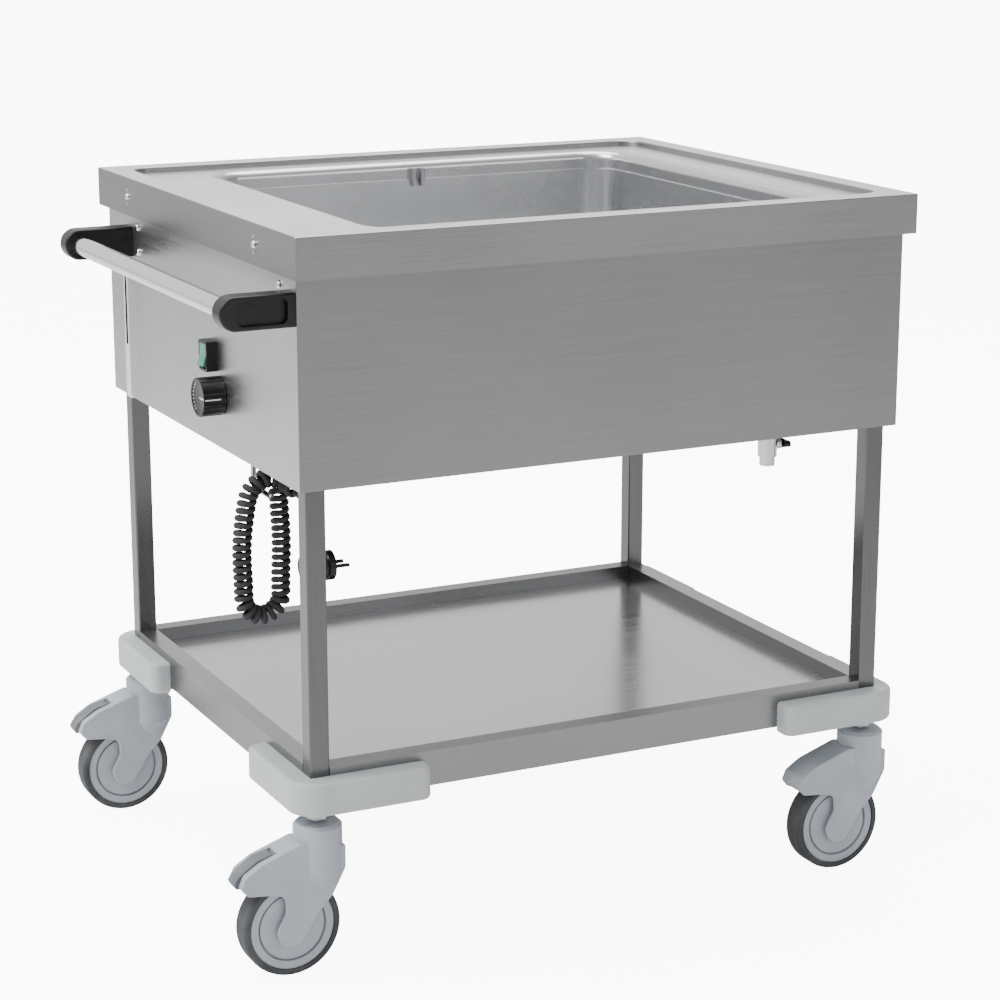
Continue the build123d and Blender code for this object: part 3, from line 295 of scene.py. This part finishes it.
# Each copy of the same stainless gets its own tone as painted light and shade: the front and back
# panels, worktop, short rails and legs are painted darker as shade, the end panels, shelf and
# basin paler, and the handle and gauge near white as painted highlights. Zinc, nickel and the
# heater sheath keep their own colours.
for finish, scale, light, dark, smooth, rough, relief, painted_top_sheen, pieces in (
    ("steel_along_x", (5, 420, 420), 0.235, 0.195, 0.28, 0.40, 0.12, 0.0,
     ("front_panel", "back_panel", "shelf_rails_long", "bottom_cover")),
    ("steel_worktop", (5, 420, 420), 0.27, 0.225, 0.26, 0.38, 0.10, 0.9, ("worktop",)),
    ("steel_shelf", (5, 380, 380), 0.42, 0.36, 0.16, 0.30, 0.07, 0.35, ("shelf_tray",)),
    ("steel_along_y", (420, 5, 420), 0.48, 0.42, 0.28, 0.40, 0.12, 0.0,
     ("control_panel", "end_panel")),
    ("steel_short_rail", (420, 5, 420), 0.21, 0.17, 0.26, 0.38, 0.10, 0.2,
     ("shelf_rails_short",)),
    ("steel_upright", (420, 420, 6), 0.125, 0.095, 0.16, 0.28, 0.10, 0.0,
     ("leg_front_left", "leg_back_left", "leg_front_right", "leg_back_right")),
    ("steel_rod", (160, 160, 160), 0.50, 0.42, 0.18, 0.30, 0.05, 0.0,
     ("cord_hook", "drain_pipe")),
    ("steel_basin", (5, 5, 5), 0.66, 0.60, 0.24, 0.30, 0.0, 0.0,
     ("basin", "divider_lugs")),
    ("steel_handle", (300, 6, 300), 0.80, 0.74, 0.08, 0.16, 0.02, 0.0,
     ("push_handle", "end_screws")),
    ("steel_gauge", (300, 300, 6), 0.97, 0.92, 0.10, 0.20, 0.02, 0.0, ("gauge_channel",)),
    ("zinc_plate", (220, 220, 220), 0.62, 0.46, 0.22, 0.42, 0.06, 0.0,
     ("caster_stems", "wheel_axle_front_left", "wheel_axle_back_left",
      "wheel_axle_front_right", "wheel_axle_back_right", "thermostat_spindle")),
    ("nickel_plate", (200, 200, 200), 0.60, 0.50, 0.08, 0.20, 0.02, 0.0, ("drain_valve",)),
    ("heater_sheath", (260, 260, 260), 0.22, 0.12, 0.35, 0.6, 0.10, 0.0,
     ("heating_element",)),
):
    metal = bpy.data.materials.new(finish)
    metal.use_nodes = True
    shader = metal.node_tree.nodes["Principled BSDF"]
    shader.inputs["Metallic"].default_value = 1.0
    surface = metal.node_tree.nodes.new("ShaderNodeGroup")
    surface.node_tree = steel
    surface.inputs["Grain Scale"].default_value = scale
    surface.inputs["Light"].default_value = (light, light * 1.008, light * 1.022, 1)
    surface.inputs["Dark"].default_value = (dark, dark * 1.008, dark * 1.022, 1)
    surface.inputs["Smooth"].default_value = smooth
    surface.inputs["Rough"].default_value = rough
    surface.inputs["Relief"].default_value = relief
    surface.inputs["Painted Top Sheen"].default_value = painted_top_sheen
    metal.node_tree.links.new(surface.outputs["Color"], shader.inputs["Base Color"])
    metal.node_tree.links.new(surface.outputs["Roughness"], shader.inputs["Roughness"])
    metal.node_tree.links.new(surface.outputs["Normal"], shader.inputs["Normal"])
    for piece in pieces:
        for k in range(len(nodes[piece].material_slots)):
            nodes[piece].material_slots[k].material = metal


# ------------------------------------------------------------------ sight glass
# The level gauge's tube is clear glass, coloured near black as painted shade in its slit. It
# stands in a channel on the control end, between two caps, and the channel's steel is painted
# near white as a highlight.
glass = bpy.data.materials.new("sight_glass")
glass.use_nodes = True
shader = glass.node_tree.nodes["Principled BSDF"]
shader.inputs["Transmission Weight"].default_value = 0.35
shader.inputs["IOR"].default_value = 1.47
streak = glass.node_tree.nodes.new("ShaderNodeTexNoise")
streak.inputs["Scale"].default_value = 60
# Near-black glass colour: painted shade of the deep slit the tube sits in.
painted_slit_shade = glass.node_tree.nodes.new("ShaderNodeValToRGB")
painted_slit_shade.color_ramp.elements[0].color = (0.02, 0.025, 0.03, 1)
painted_slit_shade.color_ramp.elements[1].color = (0.10, 0.11, 0.12, 1)
where = glass.node_tree.nodes.new("ShaderNodeTexCoord")
glass.node_tree.links.new(where.outputs["Object"], streak.inputs["Vector"])
glass.node_tree.links.new(streak.outputs["Fac"], painted_slit_shade.inputs["Fac"])
glass.node_tree.links.new(painted_slit_shade.outputs["Color"], shader.inputs["Base Color"])
damp = glass.node_tree.nodes.new("ShaderNodeMapRange")
damp.inputs["To Min"].default_value = 0.05
damp.inputs["To Max"].default_value = 0.16
glass.node_tree.links.new(streak.outputs["Fac"], damp.inputs["Value"])
glass.node_tree.links.new(damp.outputs[0], shader.inputs["Roughness"])
nodes["gauge_glass"].material_slots[0].material = glass


# ------------------------------------------------------------------ plastics and rubber
# Bumpers and casters are moulded plastic with a fine spark texture. Treads, cord and the black
# fittings are rubber or nylon, a little paler where they are handled.
moulding = bpy.data.node_groups.new("moulded_surface", "ShaderNodeTree")
for socket_name, kind in (("Colour", "NodeSocketColor"), ("Worn", "NodeSocketColor"),
                          ("Texture Scale", "NodeSocketFloat"), ("Smooth", "NodeSocketFloat"),
                          ("Rough", "NodeSocketFloat"), ("Relief", "NodeSocketFloat")):
    moulding.interface.new_socket(socket_name, in_out="INPUT", socket_type=kind)
for socket_name, kind in (("Color", "NodeSocketColor"), ("Roughness", "NodeSocketFloat"),
                          ("Normal", "NodeSocketVector")):
    moulding.interface.new_socket(socket_name, in_out="OUTPUT", socket_type=kind)
given = moulding.nodes.new("NodeGroupInput")
result = moulding.nodes.new("NodeGroupOutput")
place = moulding.nodes.new("ShaderNodeTexCoord")
spark = moulding.nodes.new("ShaderNodeTexNoise")
spark.inputs["Detail"].default_value = 2.0
moulding.links.new(place.outputs["Object"], spark.inputs["Vector"])
moulding.links.new(given.outputs["Texture Scale"], spark.inputs["Scale"])
patch = moulding.nodes.new("ShaderNodeTexNoise")
patch.inputs["Scale"].default_value = 22.0
patch.inputs["Detail"].default_value = 4.0
moulding.links.new(place.outputs["Object"], patch.inputs["Vector"])
wear = moulding.nodes.new("ShaderNodeMapRange")
wear.inputs["From Min"].default_value = 0.42
wear.inputs["From Max"].default_value = 0.72
moulding.links.new(patch.outputs["Fac"], wear.inputs["Value"])
tint = moulding.nodes.new("ShaderNodeMix")
tint.data_type = "RGBA"
moulding.links.new(wear.outputs[0], tint.inputs["Factor"])
moulding.links.new(given.outputs["Colour"], tint.inputs[6])
moulding.links.new(given.outputs["Worn"], tint.inputs[7])
moulding.links.new(tint.outputs[2], result.inputs["Color"])
sheen = moulding.nodes.new("ShaderNodeMapRange")
moulding.links.new(patch.outputs["Fac"], sheen.inputs["Value"])
moulding.links.new(given.outputs["Smooth"], sheen.inputs["To Min"])
moulding.links.new(given.outputs["Rough"], sheen.inputs["To Max"])
moulding.links.new(sheen.outputs[0], result.inputs["Roughness"])
texture = moulding.nodes.new("ShaderNodeBump")
texture.inputs["Distance"].default_value = 0.0002
moulding.links.new(given.outputs["Relief"], texture.inputs["Strength"])
moulding.links.new(spark.outputs["Fac"], texture.inputs["Height"])
moulding.links.new(texture.outputs[0], result.inputs["Normal"])

for finish, colour, worn, scale, smooth, rough, relief, pieces in (
    ("bumper_plastic", (0.44, 0.46, 0.47), (0.49, 0.51, 0.52), 900, 0.42, 0.60, 0.25,
     ("bumper_front_left", "bumper_back_left", "bumper_front_right", "bumper_back_right")),
    ("caster_plastic", (0.36, 0.39, 0.43), (0.42, 0.45, 0.49), 1100, 0.34, 0.52, 0.18,
     ("caster_housing_front_left", "caster_housing_back_left", "caster_housing_front_right",
      "caster_housing_back_right", "wheel_centre_front_left", "wheel_centre_back_left",
      "wheel_centre_front_right", "wheel_centre_back_right")),
    ("pedal_plastic", (0.11, 0.12, 0.13), (0.17, 0.18, 0.19), 900, 0.34, 0.52, 0.18,
     ("brake_pedal_front_left", "brake_pedal_back_left")),
    ("tread_rubber", (0.045, 0.048, 0.052), (0.09, 0.09, 0.092), 700, 0.55, 0.80, 0.35,
     ("wheel_tread_front_left", "wheel_tread_back_left", "wheel_tread_front_right",
      "wheel_tread_back_right")),
    ("black_nylon", (0.0035, 0.0035, 0.004), (0.009, 0.009, 0.010), 1000, 0.26, 0.42, 0.20,
     ("handle_brackets", "gauge_caps", "switch_bezel", "thermostat_knob", "drain_lever",
      "cable_gland", "thermostat_body", "plug_clip")),
    ("cord_rubber", (0.003, 0.003, 0.003), (0.007, 0.007, 0.008), 900, 0.22, 0.36, 0.15,
     ("curly_cord", "cord_ends", "plug")),
    ("switch_green", (0.03, 0.20, 0.12), (0.05, 0.28, 0.18), 300, 0.12, 0.22, 0.03,
     ("switch_rocker",)),
    ("terminal_ivory", (0.76, 0.72, 0.60), (0.68, 0.64, 0.52), 600, 0.35, 0.5, 0.1,
     ("terminal_block",)),
):
    plastic = bpy.data.materials.new(finish)
    plastic.use_nodes = True
    shader = plastic.node_tree.nodes["Principled BSDF"]
    if finish in ("black_nylon", "cord_rubber", "tread_rubber"):
        shader.inputs["Specular IOR Level"].default_value = 0.30
    surface = plastic.node_tree.nodes.new("ShaderNodeGroup")
    surface.node_tree = moulding
    surface.inputs["Colour"].default_value = (*colour, 1)
    surface.inputs["Worn"].default_value = (*worn, 1)
    surface.inputs["Texture Scale"].default_value = scale
    surface.inputs["Smooth"].default_value = smooth
    surface.inputs["Rough"].default_value = rough
    surface.inputs["Relief"].default_value = relief
    plastic.node_tree.links.new(surface.outputs["Color"], shader.inputs["Base Color"])
    plastic.node_tree.links.new(surface.outputs["Roughness"], shader.inputs["Roughness"])
    plastic.node_tree.links.new(surface.outputs["Normal"], shader.inputs["Normal"])
    for piece in pieces:
        for k in range(len(nodes[piece].material_slots)):
            nodes[piece].material_slots[k].material = plastic
cord_curve.materials.append(bpy.data.materials["cord_rubber"])


# ------------------------------------------------------------------ thermostat knob
# A black nylon knob with a fluted grip. A white line points at the setting, and short white
# marks stand on its face.
knob_radius = 0.0243
flute_turn = 30
bpy.ops.object.select_all(action="DESELECT")
knob_low, knob_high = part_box("thermostat_knob")
knob_centre = (knob_low + knob_high) / 2
knob_depth = knob_high.x - knob_low.x
bpy.ops.mesh.primitive_cylinder_add(
    vertices=96, radius=knob_radius, depth=knob_depth, location=knob_centre,
    rotation=(0, math.radians(-90), 0),
)
knob = bpy.context.object
knob.name = "thermostat_knob_fluted"
bpy.ops.object.transform_apply(location=True, rotation=True, scale=True)
bpy.ops.object.mode_set(mode="EDIT")
bpy.ops.mesh.select_mode(type="FACE")
bpy.ops.mesh.select_all(action="DESELECT")
bpy.ops.object.mode_set(mode="OBJECT")
for face in knob.data.polygons:
    turn = math.degrees(math.atan2(face.center.z - knob_centre.z, face.center.y - knob_centre.y))
    if abs(face.normal.x) < 0.5 and (turn + 360) % flute_turn < flute_turn / 2:
        face.select = True
bpy.ops.object.mode_set(mode="EDIT")
bpy.ops.mesh.inset(thickness=0.0009, depth=-0.0011, use_individual=False)
bpy.ops.mesh.select_all(action="DESELECT")
bpy.ops.object.mode_set(mode="OBJECT")
for face in knob.data.polygons:
    if face.normal.x < -0.9 and face.center.x < knob_low.x + 0.0005:
        face.select = True
bpy.ops.object.mode_set(mode="EDIT")
bpy.ops.mesh.inset(thickness=0.0032, depth=0.0)
bpy.ops.mesh.inset(thickness=0.0010, depth=-0.0012)
bpy.ops.mesh.select_all(action="DESELECT")
bpy.ops.object.mode_set(mode="OBJECT")
rounding = knob.modifiers.new("rounding", "BEVEL")
rounding.width = 0.0006
rounding.segments = 2
rounding.limit_method = "ANGLE"
rounding.angle_limit = math.radians(40)
bpy.ops.object.modifier_apply(modifier="rounding")
bpy.ops.object.shade_smooth_by_angle(angle=math.radians(35))
knob.data.materials.append(bpy.data.materials["black_nylon"])
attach(knob, "knob")
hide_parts("thermostat_knob")

white_print = bpy.data.materials.new("white_print")
white_print.use_nodes = True
shader = white_print.node_tree.nodes["Principled BSDF"]
surface = white_print.node_tree.nodes.new("ShaderNodeGroup")
surface.node_tree = moulding
surface.inputs["Colour"].default_value = (0.82, 0.82, 0.80, 1)
surface.inputs["Worn"].default_value = (0.62, 0.62, 0.60, 1)
surface.inputs["Texture Scale"].default_value = 800
surface.inputs["Smooth"].default_value = 0.4
surface.inputs["Rough"].default_value = 0.6
surface.inputs["Relief"].default_value = 0.1
white_print.node_tree.links.new(surface.outputs["Color"], shader.inputs["Base Color"])
white_print.node_tree.links.new(surface.outputs["Roughness"], shader.inputs["Roughness"])
white_print.node_tree.links.new(surface.outputs["Normal"], shader.inputs["Normal"])
pointer = (180, 0.004, 0.0195, 0.0015)
scale_marks = [(turn, 0.0165, 0.0195, 0.0009) for turn in range(-60, 75, 15)]
marks = []
for turn, inner, outer, breadth in [pointer] + scale_marks:
    bpy.ops.mesh.primitive_cube_add(size=1, location=(0, 0, 0))
    mark = bpy.context.object
    mark.scale = (0.0003, outer - inner, breadth)
    mark.location = (0, (outer + inner) / 2, 0)
    bpy.ops.object.transform_apply(location=True, rotation=True, scale=True)
    mark.rotation_euler = (math.radians(turn), 0, 0)
    mark.location = (knob_low.x + 0.00125, knob_centre.y, knob_centre.z)
    bpy.ops.object.transform_apply(location=True, rotation=True, scale=True)
    marks.append(mark)
bpy.ops.mesh.primitive_cube_add(size=1, location=(0, 0, 0))
side_line = bpy.context.object
side_line.scale = (knob_depth * 0.7, 0.0004, 0.0015)
side_line.location = (knob_low.x + knob_depth * 0.4, knob_centre.y - knob_radius, knob_centre.z)
bpy.ops.object.transform_apply(location=True, rotation=True, scale=True)
marks.append(side_line)
bpy.ops.object.select_all(action="DESELECT")
for mark in marks:
    mark.select_set(True)
bpy.context.view_layer.objects.active = marks[0]
bpy.ops.object.join()
marks[0].name = "thermostat_knob_marks"
marks[0].data.materials.append(white_print)
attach(marks[0], "knob")
